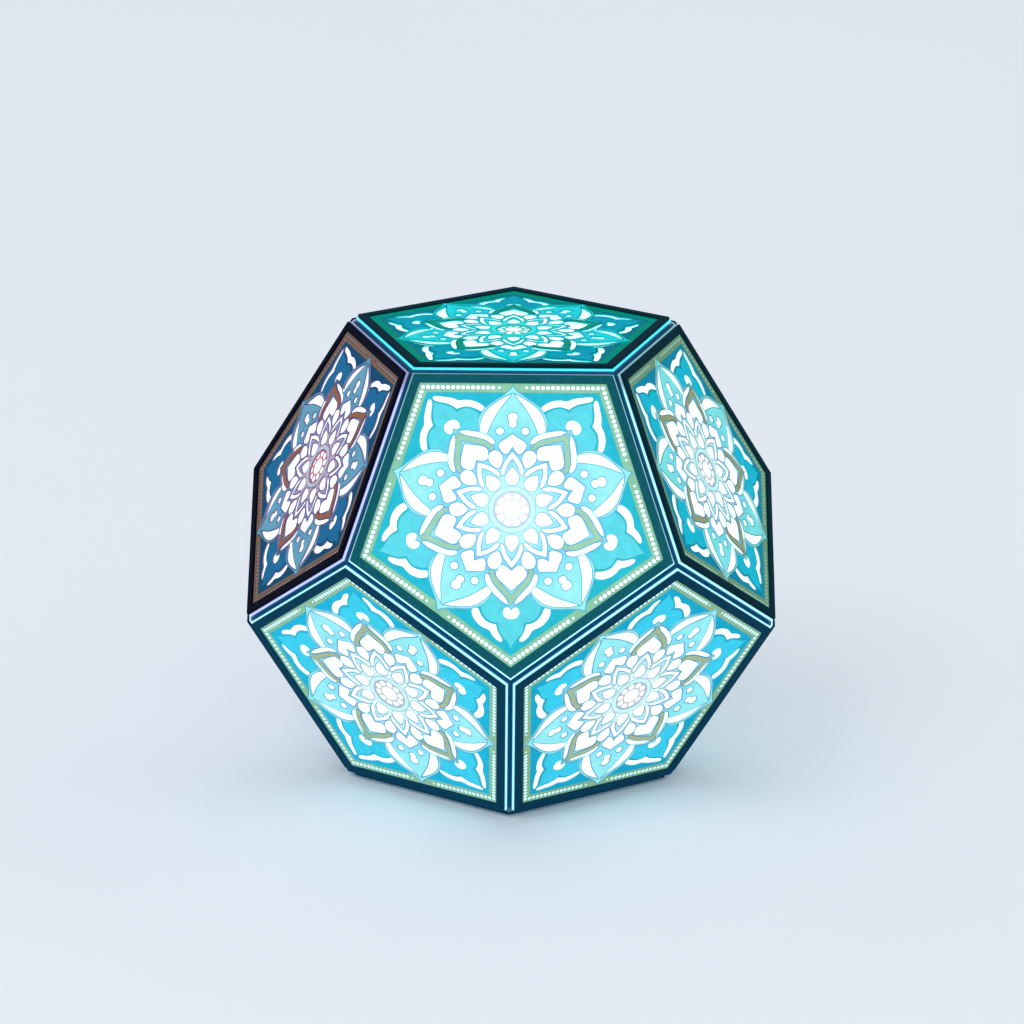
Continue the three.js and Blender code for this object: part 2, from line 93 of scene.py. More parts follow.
# Colours are written as seen on a screen, 0 to 255
def paint(red, green, blue):
    return Color((red / 255, green / 255, blue / 255)).from_srgb_to_scene_linear()


def withAlpha(colour):
    return (*colour, 1)


black, white = (0, 0, 0, 1), (1, 1, 1, 1)
noiseRange = (0.3, 0.7)  # most of a noise lies between these
narrowRange = (0.35, 0.65)  # for clouds with a firmer edge


def addNode(tree, kind, inputs=None, **settings):
    node = tree.nodes.new("ShaderNode" + kind)
    for key, value in settings.items():
        setattr(node, key, value)
    for key, value in (inputs or {}).items():
        if isinstance(value, bpy.types.NodeSocket):
            tree.links.new(value, node.inputs[key])
        else:
            node.inputs[key].default_value = value
    return node


def startMaterial(name, **sockets):
    material = bpy.data.materials.new(name)
    material.use_nodes = True
    tree = material.node_tree
    shader = tree.nodes["Principled BSDF"]
    for socket, value in sockets.items():
        shader.inputs[socket].default_value = value
    place = addNode(tree, "TexCoord").outputs["Object"]
    return material, tree, shader, place


def blendColours(tree, share, first, second):
    sockets = {0: share, 6: first, 7: second}
    return addNode(tree, "Mix", sockets, data_type="RGBA").outputs[2]


def ramp(tree, value, fromLow, fromHigh, toLow, toHigh):
    sockets = {
        "Value": value,
        "From Min": fromLow,
        "From Max": fromHigh,
        "To Min": toLow,
        "To Max": toHigh,
    }
    return addNode(tree, "MapRange", sockets).outputs["Result"]


def noise(tree, place, scale, detail, rough=0.55):
    sockets = {"Vector": place, "Scale": scale, "Detail": detail, "Roughness": rough}
    return addNode(tree, "TexNoise", sockets).outputs["Fac"]


def heightOf(tree, place):
    return addNode(tree, "SeparateXYZ", {0: place}).outputs["Z"]


def reachAlong(tree, place, direction):
    reach = addNode(tree, "VectorMath", {0: place, 1: direction}, operation="DOT_PRODUCT")
    return reach.outputs["Value"]


def larger(tree, first, second):
    return addNode(tree, "Math", {0: first, 1: second}, operation="MAXIMUM").outputs[0]


# A tone that dims in soft clouds
def clouded(tree, place, tone, scale, dim, detail):
    cloud = ramp(tree, noise(tree, place, scale, detail), *noiseRange, 0, 1)
    return blendColours(tree, cloud, withAlpha(tone * dim), withAlpha(tone))


# The share of a glowing colour that is also painted into the base colour: on the panels, plates
# and rims this paints each face's coloured light, and the halo over the lamp, into the surface's
# colour
def baseFromGlow(tree, colour, share):
    return blendColours(tree, 1 - share, colour, black)


# Fine grain that varies the roughness, from smooth to rough
def grainRoughness(tree, shader, place, scale, rough, detail=2):
    grain = noise(tree, place, scale, detail)
    tree.links.new(ramp(tree, grain, *noiseRange, *rough), shader.inputs["Roughness"])
    return grain


def roughen(tree, shader, height, depth, strength=0.5):
    bump = addNode(tree, "Bump", {"Height": height, "Distance": depth, "Strength": strength})
    tree.links.new(bump.outputs["Normal"], shader.inputs["Normal"])


# Printed card that the lamp shines through: brighter over the lamp, mottled like ink on board
card = {
    "rough": (0.54, 0.72),
    "shine": 0.01,
    "baseShare": 0.45,
    "litShare": 0.56,
    "mottleScale": 420,
    "mottleDepth": 0.06,
    "mottleDetail": 5,
    "mottleRough": 0.6,
    "washScale": 75,
    "washRange": (0.45, 0.7),
    "washTint": (0.8, 0.97, 0.88),
    "washShare": 0.45,
    "grainScale": 5200,
    "grainDepth": 0.00003,
    "haloStart": 0.003,
    "haloReach": 0.026,
    "haloLift": 0.5,
    "panelReach": 0.043,
    "webReach": 19,
}


# A tone that changes with the distance from the panel's middle, in millimetres
def toneByReach(tree, reach, stops, tints):
    blend = addNode(tree, "ValToRGB", {"Fac": ramp(tree, reach, 0, card["panelReach"], 0, 1)})
    steps = blend.color_ramp.elements
    for k, (radius, tone) in enumerate(sorted(stops.items())):
        step = steps[k] if k < len(steps) else steps.new(1)
        step.position = radius * mm / card["panelReach"]
        tint = tints[0] if radius < card["webReach"] else tints[1]
        seen = [min(255, part * share) for part, share in zip(tone, tint)]
        step.color = withAlpha(paint(*seen))
    while len(steps) > len(stops):
        steps.remove(steps[-1])
    return blend.outputs["Color"]


def inkMaterial(name, stops, tints, panelMiddle, halo, haloTone):
    material, tree, shader, place = startMaterial(name, **{"Specular IOR Level": card["shine"]})
    reach = addNode(tree, "VectorMath", {0: place, 1: panelMiddle}, operation="DISTANCE")
    reach = reach.outputs["Value"]
    tone = toneByReach(tree, reach, stops, tints)
    wash = noise(tree, place, card["washScale"], detail=2)
    wash = ramp(tree, wash, *card["washRange"], 0, card["washShare"])
    washed = addNode(tree, "VectorMath", {0: tone, 1: card["washTint"]}, operation="MULTIPLY")
    tone = blendColours(tree, wash, tone, washed.outputs["Vector"])
    depth = card["mottleDepth"]
    mottle = noise(tree, place, card["mottleScale"], card["mottleDetail"], card["mottleRough"])
    mottle = ramp(tree, mottle, *narrowRange, 1 - depth, 1 + depth)
    plain = addNode(tree, "VectorMath", {0: tone, "Scale": mottle}, operation="SCALE")
    overLamp = ramp(tree, reach, card["haloStart"], card["haloReach"], halo, 0)
    glow = blendColours(tree, overLamp, plain.outputs["Vector"], haloTone)
    lit = ramp(tree, overLamp, 0, 1, card["litShare"], card["litShare"] + card["haloLift"])
    # The base colour takes part of the glow: the face's coloured light and the halo over the lamp,
    # painted into the card's colour
    tree.links.new(baseFromGlow(tree, glow, card["baseShare"]), shader.inputs["Base Color"])
    tree.links.new(glow, shader.inputs["Emission Color"])
    tree.links.new(lit, shader.inputs["Emission Strength"])
    grain = grainRoughness(tree, shader, place, card["grainScale"], card["rough"])
    roughen(tree, shader, grain, card["grainDepth"])
    return material


# Inks as the front panel shows them, by how far they lie from its middle in millimetres. The wall
# tones are painted light from the glowing plate on the cut walls, not ink.
inks = {
    "field": {0: (44, 193, 216)},
    "leaf": {0: (96, 221, 235)},
    "lotus": {6: (190, 252, 255), 10: (168, 247, 255), 14: (132, 221, 246), 17: (116, 212, 243),
              21: (138, 232, 247), 25: (162, 246, 250)},
    "border": {0: (146, 206, 174)},
    "petal": {0: (160, 211, 182)},
    "medal": {2: (250, 238, 242), 5: (222, 178, 176)},
    "ring": {0: (198, 254, 255)},
    "line": {6: (150, 200, 240), 12: (118, 180, 230), 18: (100, 165, 222), 27: (105, 192, 232),
             36: (80, 172, 202)},
    "leafLine": {0: (84, 194, 196)},
    # Darker ring round each bead and along the border's edges: painted shade
    "borderEdgeShade": {0: (118, 172, 146)},
    # Cut walls and bead walls, near white: painted light from the plate below them
    "wall": {0: (226, 248, 252)},
    "beadWall": {0: (226, 248, 252)},
}

# Which of a face's tints each ink takes, near the lamp and further out
inkTints = {
    "field": ("field", "field"),
    "leaf": ("leaf", "leaf"),
    "leafLine": ("leaf", "leaf"),
    "lotus": ("web", "lotus"),
    "ring": ("ring", "ring"),
    "border": ("border", "border"),
    "borderEdgeShade": ("border", "border"),
    "petal": ("petal", "petal"),
    "medal": ("medal", "medal"),
    "line": ("webLine", "line"),
    "wall": ("wall", "wall"),
    "beadWall": ("beadWall", "beadWall"),
}
haloShares = {"lotus": 0.5, "ring": 0.6, "medal": 1, "petal": 0.2, "line": 0.2, "wall": 0.4}

# The light behind each face, as shares of the inks above, then the halo over the lamp, the plate's
# glow and bright edge, and the rim's tone: a dark stained tone tinted by the painted spill of the
# face's coloured light. The faces hidden from view blend two others.
faceLights = {
    "top": {
        "field": (0.0, 0.62, 0.63), "leaf": (0.0, 0.71, 0.78), "lotus": (0.17, 0.85, 0.87),
        "web": (0.08, 0.89, 0.88), "ring": (0.08, 0.88, 0.88), "border": (0.0, 0.68, 0.66),
        "petal": (0.0, 0.68, 0.64), "medal": (0.0, 0.82, 0.64), "line": (0.0, 0.66, 0.62),
        "webLine": (0.0, 0.76, 0.64), "wall": (0.1, 0.78, 0.78),
        "beadWall": (0.0, 0.62, 0.56), "halo": 0.15,
        "glass": (190, 252, 250), "edge": (70, 225, 235), "rim": (0, 40, 54)},
    "upper_1": {
        "field": (1, 1, 1), "leaf": (1, 1, 1), "lotus": (1, 1, 1), "web": (1, 1, 1),
        "ring": (1, 1, 1), "border": (1, 1, 1), "petal": (1, 1, 1), "medal": (1, 1, 1),
        "line": (1, 1, 1), "webLine": (1, 1, 1), "wall": (1, 1, 1),
        "beadWall": (1, 1, 1), "halo": 0.36,
        "glass": (228, 253, 255), "edge": (172, 234, 242), "rim": (20, 96, 108)},
    "upper_2": {
        "field": (0.3, 0.71, 0.78), "leaf": (0.25, 0.84, 0.9), "lotus": (0.78, 0.93, 0.93),
        "web": (1.1, 0.96, 0.95), "ring": (0.9, 0.96, 0.96), "border": (0.76, 0.74, 0.7),
        "petal": (0.93, 0.75, 0.65), "medal": (0.72, 0.76, 0.74), "line": (0.8, 0.7, 0.62),
        "webLine": (0.95, 0.72, 0.66), "wall": (0.82, 0.92, 0.93),
        "beadWall": (0.6, 0.72, 0.62), "halo": 0.25,
        "glass": (228, 250, 250), "edge": (168, 236, 242), "rim": (0, 42, 56)},
    "upper_5": {
        "field": (0.5, 0.39, 0.52), "leaf": (0.33, 0.48, 0.65), "lotus": (0.64, 0.65, 0.75),
        "web": (1.0, 0.65, 0.75), "ring": (0.92, 0.76, 0.82), "border": (0.84, 0.48, 0.48),
        "petal": (0.94, 0.46, 0.42), "medal": (0.95, 0.57, 0.52), "line": (0.6, 0.4, 0.5),
        "webLine": (0.88, 0.43, 0.5), "wall": (0.58, 0.52, 0.64),
        "beadWall": (0.5, 0.36, 0.36), "halo": 0.05,
        "glass": (240, 232, 255), "edge": (182, 188, 246), "rim": (4, 9, 30)},
    "lower_1": {
        "field": (0.62, 0.92, 0.99), "leaf": (0.68, 0.97, 1.05), "lotus": (1.0, 1.01, 1.04),
        "web": (1.24, 1.04, 1.01), "ring": (1.04, 0.99, 1.0), "border": (1.0, 0.92, 0.88),
        "petal": (1.07, 0.9, 0.85), "medal": (0.84, 0.83, 0.82), "line": (0.95, 0.86, 0.85),
        "webLine": (1.05, 0.84, 0.78), "wall": (0.82, 0.92, 0.96),
        "beadWall": (0.9, 1.0, 1.0), "halo": 0.3,
        "glass": (228, 252, 255), "edge": (168, 234, 250), "rim": (10, 62, 88)},
    "lower_5": {
        "field": (0.84, 0.98, 1.05), "leaf": (0.68, 0.97, 1.04), "lotus": (1.0, 1.0, 1.03),
        "web": (1.24, 1.03, 1.01), "ring": (1.01, 0.97, 0.99), "border": (1.03, 0.97, 0.97),
        "petal": (1.07, 0.9, 0.85), "medal": (0.84, 0.82, 0.81), "line": (0.95, 0.88, 0.86),
        "webLine": (1.05, 0.84, 0.79), "wall": (0.82, 0.92, 0.96),
        "beadWall": (0.9, 1.0, 1.0), "halo": 0.3,
        "glass": (228, 252, 255), "edge": (168, 234, 250), "rim": (10, 64, 92)},
}
hiddenFaces = {
    "upper_3": ("upper_2", "lower_1", 0.25),
    "upper_4": ("upper_5", "upper_2", 0.4),
    "lower_2": ("lower_1", "upper_2", 0.5),
    "lower_3": ("lower_5", "upper_2", 0.4),
    "lower_4": ("lower_5", "upper_5", 0.5),
}


def faceLight(face):
    if face in faceLights:
        return faceLights[face]
    first, second, share = hiddenFaces[face]
    near, far = faceLights[first], faceLights[second]
    light = {}
    for key, value in near.items():
        if key == "halo":
            light[key] = value + (far[key] - value) * share
        else:
            light[key] = tuple(a + (b - a) * share for a, b in zip(value, far[key]))
    return light


def panelInks(face, light, panelMiddle):
    glass = withAlpha(paint(*light["glass"]))
    faceInks = {}
    for ink, stops in inks.items():
        tints = [light[group] for group in inkTints[ink]]
        halo = light["halo"] * haloShares.get(ink, 0)
        faceInks[ink] = inkMaterial(f"{ink}Ink_{face}", stops, tints, panelMiddle, halo, glass)
    return faceInks


print("inks ready")


# The pattern is drawn in millimetres on a panel whose fretwork reaches 35 from its middle to a
# side, each outline beside an axis that points up. The number after a point is the percentage of
# its sides that its rounding takes, with 0 for a sharp point.
pattern = {
    "drawnFor": 35.0,
    "rounding": 50,
    "arcSteps": 4,
    "mergeReach": 0.001,
    "medallionHole": 4.6,
    "holeSteps": 40,
    "beadRow": 33.9,
    "beadPitch": 1.37,
    "beadRadius": 0.58,
    "beadCount": 14,
    "beadSteps": 10,
    "loneBead": 0.4,
    "loneBeadAt": 3.75,
    "borderReach": 35.12,
    "borderInside": 32.45,
    "fieldReach": 32.75,
    "cutReach": 32.55,
    "tuck": 0.985,
}

# Turns round the panel's middle, clockwise in degrees
sideTurns = [72 * k for k in range(5)]
cornerTurns = [72 * k + 36 for k in range(5)]
upperTurns = [36, 324]
lowerTurns = [108, 180, 252]
petalTurns = [36 * k for k in range(10)]
cellTurns = [36 * k + 18 for k in range(10)]

# Half a big petal, then half the notch between two of them
silhouette = {
    "lotus": [(0, 34.7, 0), (0.9, 33.2), (3.9, 31.0), (7.2, 28.9), (9.3, 26.2), (9.85, 23.4)],
    "tip": [(5.2, 23.2, 0), (3.4, 25.4), (1.3, 26.5), (0.4, 26.9), (0, 27.9, 0)],
}
lotusCuts = [
    {"turns": petalTurns, "half": [(0, 11.8, 0), (1.5, 10.1), (2.0, 8.3), (1.25, 6.95)]},
    {"turns": petalTurns, "half": [
        (0, 16.0, 0), (1.5, 14.2), (2.7, 12.2), (3.15, 10.3), (2.7, 9.2), (2.05, 10.3),
        (1.5, 12.4), (0, 14.35, 0)]},
    {"turns": cellTurns, "half": [(0.9, 17.1), (1.8, 15.9), (1.95, 14.2), (0.5, 12.15)]},
    {"turns": sideTurns, "half": [
        (0, 20.9, 0), (1.9, 19.5), (4.1, 18.2), (3.4, 16.7), (1.8, 14.8), (0, 17.6, 0)]},
    {"turns": cornerTurns, "half": [
        (0, 22.25, 0), (1.9, 20.6), (3.7, 19.0), (4.4, 17.5), (3.3, 16.0), (2.2, 15.0),
        (0, 16.95, 0)]},
    {"turns": sideTurns, "side": [
        (0.6, 31.95, 0), (2.5, 31.0), (5.5, 29.1), (7.7, 26.9), (8.75, 24.4), (9.0, 21.75, 15),
        (7.2, 20.75, 15), (6.4, 22.9), (4.6, 26.6), (2.7, 29.2), (1.1, 31.1)]},
    {"turns": cornerTurns, "side": [
        (0.85, 26.05, 0), (2.2, 25.5), (4.5, 23.4), (6.5, 21.0), (7.3, 18.9), (6.8, 17.4),
        (6.1, 18.0), (5.55, 20.0), (3.6, 22.3), (1.35, 24.6)]},
    {"turns": sideTurns, "half": [
        (0.6, 26.85), (1.3, 26.3), (1.35, 25.1), (0.7, 24.5), (1.05, 24.2), (1.1, 23.2),
        (0.45, 22.8)]},
    {"turns": sideTurns, "side": [
        (3.07, 22.75), (3.87, 22.75), (4.47, 22.15), (4.47, 21.35), (3.87, 20.75),
        (3.07, 20.75), (2.47, 21.35), (2.47, 22.15)]},
]
cornerCuts = [
    {"turns": upperTurns, "side": [
        (9.1, 26.9), (8.4, 28.6), (6.9, 30.5), (5.4, 31.3), (4.0, 31.6, 0), (3.6, 33.0),
        (2.6, 34.6), (1.2, 36.0), (0.3, 37.1), (0.35, 38.1), (1.2, 38.1), (3.1, 36.3),
        (4.8, 34.8), (5.7, 33.0), (7.4, 32.4), (9.3, 30.5), (10.3, 28.4), (10.4, 27.0)]},
    {"turns": lowerTurns, "side": [
        (8.9, 26.9), (8.6, 28.4), (7.2, 30.5), (5.6, 31.3), (4.1, 31.6, 0), (3.7, 33.6),
        (2.2, 35.6), (2.4, 36.4), (3.7, 36.0), (5.2, 34.4), (5.8, 32.9), (7.8, 32.4),
        (9.8, 30.6), (10.7, 28.6), (10.7, 27.0)]},
]
kidney = {"turns": cornerTurns, "half": [
    (0, 27.9, 0), (0.5, 27.0), (1.5, 26.7), (2.35, 27.8), (2.1, 29.3), (0.9, 30.1)]}
leafRoot = [(8.3, 26.2, 0), (6.8, 25.4), (5.2, 22.6, 0), (3.4, 24.8), (1.3, 25.9), (0.4, 26.3),
            (0, 27.2, 0)]
leaves = [
    {"turns": upperTurns, "half": [
        (0, 36.9, 0), (1.0, 35.6), (2.3, 34.1), (3.3, 32.6), (3.5, 30.9, 0), (5.3, 30.9),
        (6.9, 29.8), (8.0, 28.0), *leafRoot]},
    {"turns": lowerTurns, "half": [
        (0, 38.2, 0), (0.8, 36.6), (2.3, 35.0), (3.5, 33.2), (3.5, 31.15, 0), (5.4, 31.0),
        (7.1, 29.8), (8.1, 28.0), *leafRoot]},
]
goldPetal = {"turns": cornerTurns, "half": [
    (0, 26.7, 0), (0.7, 25.5), (1.6, 24.2), (3.4, 22.35), (5.0, 20.55), (6.1, 18.4),
    (6.25, 16.6, 0), (4.6, 16.2, 0), (4.6, 17.7), (3.5, 19.4), (1.85, 21.3), (0, 23.35, 0)]}
medallion = {
    "outer": 4.9,
    "disc": 2.35,
    "discSteps": 30,
    "beads": 10,
    "beadCircle": 3.8,
    "beadRadius": 0.94,
    "beadSteps": 16,
    "beadTurn": 18,
    "ringInner": 4.95,
    "ringOuter": 6.55,
    "ringSteps": 60,
}

# Underside and top of each sheet above the glowing plate, in millimetres, then how wide the lit
# edges are and how far they rise
sheets = {
    "field": (0.05, 0.40),
    "leaf": (0.41, 0.50),
    "border": (0.06, 0.46),
    "lotus": (0.56, 0.82),
    "gold": (0.83, 0.95),
    "edgeWidth": 0.2,
    "webEdge": 0.27,
    "beadEdge": 0.12,
    "edgeRise": 0.03,
}
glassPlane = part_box("diffuser_top")[1].z - middle.z
fretApothem = -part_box("fretwork_top")[0].y
drawScale = fretApothem / pattern["drawnFor"]


def mirrored(cage):
    return [(-x, y, *share) for x, y, *share in reversed(cage)]


def clockwise(cage, angle):
    turn = Matrix.Rotation(-math.radians(angle), 2)
    return [(*(turn @ Vector((x, y))), *share) for x, y, *share in cage]


def pentagonCage(apothem):
    corner = (0, apothem / math.cos(math.radians(36)), 0)
    return [clockwise([corner], angle)[0] for angle in cornerTurns]


def silhouetteCage(reach, share=1):
    lotus = [(x * share, min(y, reach) * share, *sharp) for x, y, *sharp in silhouette["lotus"]]
    tip = [(x * share, y * share, *sharp) for x, y, *sharp in silhouette["tip"]]
    cage = []
    for angle in sideTurns:
        cage += clockwise(lotus, angle)
        cage += clockwise(mirrored(tip)[::-1][:-1] + tip[::-1], angle + 36)
        cage += clockwise(mirrored(lotus)[:-1], angle + 72)
    return cage


def meshFrom(bm, name):
    mesh = bpy.data.meshes.new(name)
    bm.to_mesh(mesh)
    bm.free()
    return mesh


# Adds one drawing to another
def pourInto(whole, part):
    mesh = meshFrom(part, "part")
    whole.from_mesh(mesh)
    bpy.data.meshes.remove(mesh)


# Draws a cage as a rounded outline of edges
def drawCage(bm, cage):
    shape = bmesh.new()
    shares = {}
    corners = []
    for x, y, *share in cage:
        corners.append(shape.verts.new((x, y, 0)))
        shares.setdefault(share[0] if share else pattern["rounding"], []).append(corners[-1])
    shape.faces.new(corners)
    for share in sorted(shares, reverse=True):
        if share:
            bmesh.ops.bevel(
                shape, geom=shares[share], offset=share, offset_type="PERCENT",
                segments=pattern["arcSteps"], profile=0.5, affect="VERTICES",
                clamp_overlap=False, material=-1,
            )
    bmesh.ops.remove_doubles(shape, verts=shape.verts[:], dist=pattern["mergeReach"])
    bmesh.ops.delete(shape, geom=shape.faces[:], context="FACES_ONLY")
    pourInto(bm, shape)


def drawShape(bm, shape):
    if "half" in shape:
        kept = [point for point in mirrored(shape["half"]) if point[0] < 0]
        cages = [shape["half"] + kept]
    else:
        cages = [shape["side"], mirrored(shape["side"])]
    for cage in cages:
        for angle in shape["turns"]:
            drawCage(bm, clockwise(cage, angle))


def drawCircle(bm, x, y, radius, steps):
    place = Matrix.Translation((x, y, 0))
    bmesh.ops.create_circle(bm, segments=steps, radius=radius, matrix=place)


# Fills the drawn outlines, gives the sheet its thickness and marks its cut edges and lit walls
def pressSheet(bm, heights, edgeWidth, inkIndex, edgeIndex, wallIndex):
    low, high = heights
    bmesh.ops.triangle_fill(bm, edges=bm.edges[:], use_beauty=True, normal=(0, 0, 1))
    lifted = bmesh.ops.extrude_face_region(bm, geom=bm.faces[:])["geom"]
    for face in bm.faces:
        face.material_index = wallIndex
    tops = [part for part in lifted if isinstance(part, bmesh.types.BMFace)]
    risen = [part for part in lifted if isinstance(part, bmesh.types.BMVert)]
    bmesh.ops.translate(bm, verts=risen, vec=(0, 0, high - low - sheets["edgeRise"]))
    for face in tops:
        face.material_index = inkIndex
    edge = bmesh.ops.inset_region(
        bm, faces=tops, thickness=edgeWidth, depth=sheets["edgeRise"], use_boundary=True,
        use_even_offset=True,
    )
    for face in edge["faces"]:
        face.material_index = edgeIndex
    bmesh.ops.translate(bm, verts=bm.verts[:], vec=(0, 0, low))
    bmesh.ops.recalc_face_normals(bm, faces=bm.faces[:])


# A layer's parts give what is drawn, the height and edge width, and the inks of top, edge and wall
def sheetMesh(layer, parts):
    whole = bmesh.new()
    for draw, height, edgeWidth, *partInks in parts:
        part = bmesh.new()
        draw(part)
        indices = [layerInks[layer].index(ink) for ink in partInks]
        pressSheet(part, sheets[height], sheets[edgeWidth], *indices)
        pourInto(whole, part)
    bmesh.ops.scale(whole, verts=whole.verts[:], vec=(drawScale, drawScale, mm))
    return meshFrom(whole, layer)


def drawField(bm):
    drawCage(bm, pentagonCage(pattern["fieldReach"]))
    drawCage(bm, silhouetteCage(pattern["cutReach"], pattern["tuck"]))
    for shape in [*cornerCuts, kidney]:
        drawShape(bm, shape)


def drawLeaves(bm):
    for shape in [*leaves, kidney]:
        drawShape(bm, shape)


def drawBorder(bm):
    drawCage(bm, pentagonCage(pattern["borderReach"]))
    drawCage(bm, pentagonCage(pattern["borderInside"]))
    row = pattern["beadRow"]
    corner = row * math.tan(math.radians(36))
    for angle in sideTurns:
        beads = [(corner - pattern["beadPitch"] * k, pattern["beadRadius"])
                 for k in range(pattern["beadCount"] + 1)]
        beads.append((pattern["loneBeadAt"], pattern["loneBead"]))
        for along, radius in beads:
            x, y = clockwise([(along, row)], angle)[0]
            drawCircle(bm, x, y, radius, pattern["beadSteps"])
            if along < corner:
                x, y = clockwise([(-along, row)], angle)[0]
                drawCircle(bm, x, y, radius, pattern["beadSteps"])


def drawLotus(bm):
    drawCage(bm, silhouetteCage(pattern["drawnFor"]))
    drawCircle(bm, 0, 0, pattern["medallionHole"], pattern["holeSteps"])
    for shape in lotusCuts:
        drawShape(bm, shape)


def drawGold(bm):
    drawShape(bm, goldPetal)


def drawRing(bm):
    drawCircle(bm, 0, 0, medallion["ringOuter"], medallion["ringSteps"])
    drawCircle(bm, 0, 0, medallion["ringInner"], medallion["ringSteps"])


def drawMedal(bm):
    drawCircle(bm, 0, 0, medallion["outer"], medallion["ringSteps"])
    drawCircle(bm, 0, 0, medallion["disc"], medallion["discSteps"])
    for k in range(medallion["beads"]):
        turn = 360 * k / medallion["beads"] + medallion["beadTurn"]
        x, y = clockwise([(0, medallion["beadCircle"])], turn)[0]
        drawCircle(bm, x, y, medallion["beadRadius"], medallion["beadSteps"])


# The inks on each layer, and the parts that are pressed for it
layerInks = {
    "field": ("field", "leaf", "leafLine", "line", "wall"),
    "border": ("border", "borderEdgeShade", "beadWall"),
    "lotus": ("lotus", "line", "wall"),
    "gold": ("petal", "ring", "medal", "line", "wall"),
}
layerParts = {
    "field": [
        (drawField, "field", "edgeWidth", "field", "line", "wall"),
        (drawLeaves, "leaf", "beadEdge", "leaf", "leafLine", "leafLine"),
    ],
    "border": [(drawBorder, "border", "beadEdge", "border", "borderEdgeShade", "beadWall")],
    "lotus": [(drawLotus, "lotus", "webEdge", "lotus", "line", "wall")],
    "gold": [
        (drawGold, "gold", "edgeWidth", "petal", "line", "line"),
        (drawRing, "gold", "edgeWidth", "ring", "line", "wall"),
        (drawMedal, "gold", "beadEdge", "medal", "line", "wall"),
    ],
}
stencils = {layer: sheetMesh(layer, parts) for layer, parts in layerParts.items()}
print("sheets:", {name: len(mesh.polygons) for name, mesh in stencils.items()})


# Where a face lies: local +Z outwards, local +Y towards the top, the bottom or, on top, the front
def facePlace(face):
    rim = nodes["rim_" + face].data
    outer = max(rim.polygons, key=lambda side: (side.center - middle).dot(side.normal))
    outward = outer.normal.normalized()
    towards = Vector((0, -1, 0)) if face == "top" else upward * (1 if "upper" in face else -1)
    ahead = (towards - outward * towards.dot(outward)).normalized()
    turn = Matrix((ahead.cross(outward), ahead, outward)).transposed()
    return Matrix.Translation(middle) @ turn.to_4x4()


def dressNode(name, material):
    nodes[name].data.materials.clear()
    nodes[name].data.materials.append(material)


# The glowing acrylic behind the cut-outs: its edge shows as a bright line beside each rim, and
# the sides below the line are darkened, a painted shade. On some faces both fade upwards, from a
# height in millimetres along the panel.
plate = {
    "glow": 0.95,
    "sideGlow": 0.3,
    "baseShare": 0.7,
    "coat": 0.2,
    "cloudScale": 60,
    "cloudDim": 0.92,
    "grainScale": 900,
    "rough": (0.24, 0.36),
    "side": (12, 88, 136),
    "lineDepth": 0.00055,
    "lineSharp": 0.7,
    "ledge": 0.001,
    "haloStart": 0.004,
    "haloReach": 0.04,
    "haloShare": 0.8,
    "fadeFrom": {"upper_1": -16, "upper_2": 31, "upper_3": 31, "upper_4": 31, "upper_5": 31},
    "fadeLength": 4,
    "faded": 0.45,
}


# How far a point lies towards the panel's nearest side
def sideReach(tree, fromMiddle, turn):
    sides = [turn @ Vector((*clockwise([(0, 1)], angle)[0], 0)) for angle in sideTurns]
    furthest = reachAlong(tree, fromMiddle, sides[0])
    for side in sides[1:]:
        furthest = larger(tree, furthest, reachAlong(tree, fromMiddle, side))
    return furthest


def glassMaterial(face, light, turn, panelMiddle):
    coat = {"Coat Weight": plate["coat"]}
    material, tree, shader, place = startMaterial(f"plateGlow_{face}", **coat)
    fromMiddle = addNode(tree, "VectorMath", {0: place, 1: panelMiddle}, operation="SUBTRACT")
    fromMiddle = fromMiddle.outputs["Vector"]
    reach = addNode(tree, "VectorMath", {0: fromMiddle}, operation="LENGTH").outputs["Value"]
    height = reachAlong(tree, fromMiddle, turn @ upward)
    depth = plate["lineDepth"]
    bright = ramp(tree, height, -depth, -depth * plate["lineSharp"], 0, 1)
    overLamp = ramp(tree, reach, plate["haloStart"], plate["haloReach"], plate["haloShare"], 0)
    tint = paint(*light["glass"])
    soft = clouded(tree, place, tint, plate["cloudScale"], plate["cloudDim"], detail=2)
    glow = blendColours(tree, overLamp, soft, white)
    outside = sideReach(tree, fromMiddle, turn)
    ledge = ramp(tree, outside, fretApothem, fretApothem + plate["ledge"], 0, 1)
    # The dark side tone below the bright line is painted shade
    edge, dark = paint(*light["edge"]), paint(*plate["side"])
    line, side = withAlpha(edge), withAlpha(dark)
    if face in plate["fadeFrom"]:
        rise = reachAlong(tree, fromMiddle, turn @ Vector((0, 1, 0)))
        start = plate["fadeFrom"][face]
        end = start + plate["fadeLength"]
        fade = ramp(tree, rise, start * mm, end * mm, 0, 1)
        line = blendColours(tree, fade, line, withAlpha(edge * plate["faded"]))
        side = blendColours(tree, fade, side, withAlpha(dark * plate["faded"]))
    glow = blendColours(tree, ledge, glow, line)
    glow = blendColours(tree, bright, side, glow)
    strength = ramp(tree, bright, 0, 1, plate["sideGlow"], plate["glow"])
    tree.links.new(glow, shader.inputs["Emission Color"])
    tree.links.new(strength, shader.inputs["Emission Strength"])
    # The base colour takes part of the glow: the face's light, the halo and the bright edge,
    # painted into the plate's colour
    tree.links.new(baseFromGlow(tree, glow, plate["baseShare"]), shader.inputs["Base Color"])
    grainRoughness(tree, shader, place, plate["grainScale"], plate["rough"])
    return material


# Dark stained rims with a fine streaky grain. Each rim's tone is tinted by its face's coloured
# light and glows faintly: painted spill of the glowing panels' light.
rimStainAndSpill = {
    "shine": 0.015,
    "glow": 0.6,
    "baseShare": 0.35,
    "grain": (2600, 380, 900),
    "grainRange": (0.35, 0.7),
    "grainTones": (0.8, 1.2),
    "cloudScale": 130,
    "cloudTone": 0.7,
    "cloudShare": 0.35,
    "rough": (0.55, 0.8),
    "bumpDepth": 0.00004,
    "bumpStrength": 0.6,
}


